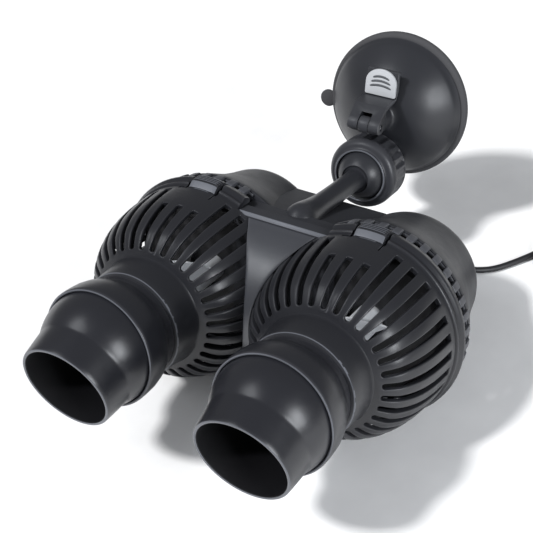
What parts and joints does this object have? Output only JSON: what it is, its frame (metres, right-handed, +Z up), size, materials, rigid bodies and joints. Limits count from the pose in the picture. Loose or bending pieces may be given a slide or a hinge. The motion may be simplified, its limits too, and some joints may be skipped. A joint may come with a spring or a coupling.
{
  "type": "aquarium circulation pump",
  "caption": "Submersible twin-head aquarium circulation pump with ball-jointed nozzles, slotted intake cages and a ball-joint arm on a lever-lock suction cup.",
  "frame": {"origin": "bottom centre of the pump's own box, on the surface it lies on", "axes": "+X across the two heads, -Y the way the nozzles point, +Z up from the surface; the head axes lean 14.93 degrees nose-up because the pump lies on its cage rims and shell ends"},
  "size_m": [0.2436, 0.2501, 0.1085],
  "materials": {
    "housing": "satin moulded",
    "nozzle": "semi-gloss moulded",
    "impeller": "satin moulded",
    "grip": "matte moulded",
    "liner": "matte moulded",
    "cup_rubber": "smooth soft rubber",
    "seal_rubber": "matte rubber",
    "cord": "smooth cord jacket",
    "magnet": "sintered ferrite",
    "shaft": "polished ceramic",
    "potting": "cast resin",
    "steel": "stainless",
    "pins": "nickel plated"
  },
  "bodies": {
    "pump_body": {"twin_housing": "housing", "centre_cover": "housing", "swivel_arm": "housing", "cord_gland": "seal_rubber", "power_cord": "cord", "cord_coil": "cord", "cord_tie": "grip", "cord_tail": "cord", "plug_body": "cord", "left_plug_pin": "pins", "right_plug_pin": "pins", "left_strainer_cage": "housing", "left_intake_ring": "housing", "left_shaft_spider": "housing", "left_rotor_shaft": "shaft", "left_front_bush": "seal_rubber", "left_rear_bush": "seal_rubber", "left_rotor_can": "housing", "left_can_seal": "seal_rubber", "left_stator": "potting", "right_strainer_cage": "housing", "right_intake_ring": "housing", "right_shaft_spider": "housing", "right_rotor_shaft": "shaft", "right_front_bush": "seal_rubber", "right_rear_bush": "seal_rubber", "right_rotor_can": "housing", "right_can_seal": "seal_rubber", "right_stator": "potting"},
    "left_socket": {"left_outlet_socket": "nozzle"},
    "left_nozzle": {"left_ball_nozzle": "nozzle"},
    "left_rotor": {"left_propeller": "impeller", "left_rotor_magnet": "magnet"},
    "right_socket": {"right_outlet_socket": "nozzle"},
    "right_nozzle": {"right_ball_nozzle": "nozzle"},
    "right_rotor": {"right_propeller": "impeller", "right_rotor_magnet": "magnet"},
    "ball_yaw": {"rear_ball_seat": "liner"},
    "ball_pitch": {"front_ball_seat": "liner"},
    "cup_mount": {"cup_cover": "housing", "suction_cup": "cup_rubber"},
    "clamp_nut": {"clamp_nut": "housing"},
    "cup_stud": {"cup_stud": "housing"},
    "cam_lever": {"cam_lever": "housing", "lever_grip": "grip", "lever_pin": "steel"}
  },
  "joints": [
    {"name": "left_socket_spin", "type": "hinge", "parent": "pump_body", "child": "left_socket", "pos_m": [-0.041, -0.09275, 0.06556], "axis": [0, 0.9662, -0.2577], "continuous": true},
    {"name": "left_nozzle_tilt", "type": "hinge", "parent": "left_socket", "child": "left_nozzle", "pos_m": [-0.041, -0.09275, 0.06556], "axis": [1, 0, 0], "range_deg": [-38, 4]},
    {"name": "left_rotor_spin", "type": "hinge", "parent": "pump_body", "child": "left_rotor", "pos_m": [-0.041, -0.01902, 0.0459], "axis": [0, 0.9662, -0.2577], "continuous": true},
    {"name": "right_socket_spin", "type": "hinge", "parent": "pump_body", "child": "right_socket", "pos_m": [0.041, -0.09275, 0.06556], "axis": [0, 0.9662, -0.2577], "continuous": true},
    {"name": "right_nozzle_tilt", "type": "hinge", "parent": "right_socket", "child": "right_nozzle", "pos_m": [0.041, -0.09275, 0.06556], "axis": [1, 0, 0], "range_deg": [-38, 4]},
    {"name": "right_rotor_spin", "type": "hinge", "parent": "pump_body", "child": "right_rotor", "pos_m": [0.041, -0.01902, 0.0459], "axis": [0, 0.9662, -0.2577], "continuous": true},
    {"name": "ball_yaw", "type": "hinge", "parent": "pump_body", "child": "ball_yaw", "pos_m": [0, 0.06823, 0.05678], "axis": [0, 0.2577, 0.9662], "range_deg": [-16, 25]},
    {"name": "ball_pitch", "type": "hinge", "parent": "ball_yaw", "child": "ball_pitch", "pos_m": [0, 0.06823, 0.05678], "axis": [1, 0, 0], "range_deg": [-16, 25]},
    {"name": "ball_roll", "type": "hinge", "parent": "ball_pitch", "child": "cup_mount", "pos_m": [0, 0.06823, 0.05678], "axis": [0, 0.9662, -0.2577], "continuous": true},
    {"name": "clamp_nut_turn", "type": "hinge", "parent": "cup_mount", "child": "clamp_nut", "pos_m": [0, 0.06823, 0.05678], "axis": [0, -0.9662, 0.2577], "range_deg": [0, 180]},
    {"name": "cup_stud_slide", "type": "slide", "parent": "cup_mount", "child": "cup_stud", "axis": [0, 0.9662, -0.2577], "range_m": [0, 0.0015]},
    {"name": "cam_lever_hinge", "type": "hinge", "parent": "cup_stud", "child": "cam_lever", "pos_m": [0, 0.07099, 0.08306], "axis": [1, 0, 0], "range_deg": [0, 85]}
  ],
  "couplings": [
    {"joint": "cam_lever_hinge", "follows": "cup_stud_slide", "rad_per_m": 989.02}
  ]
}
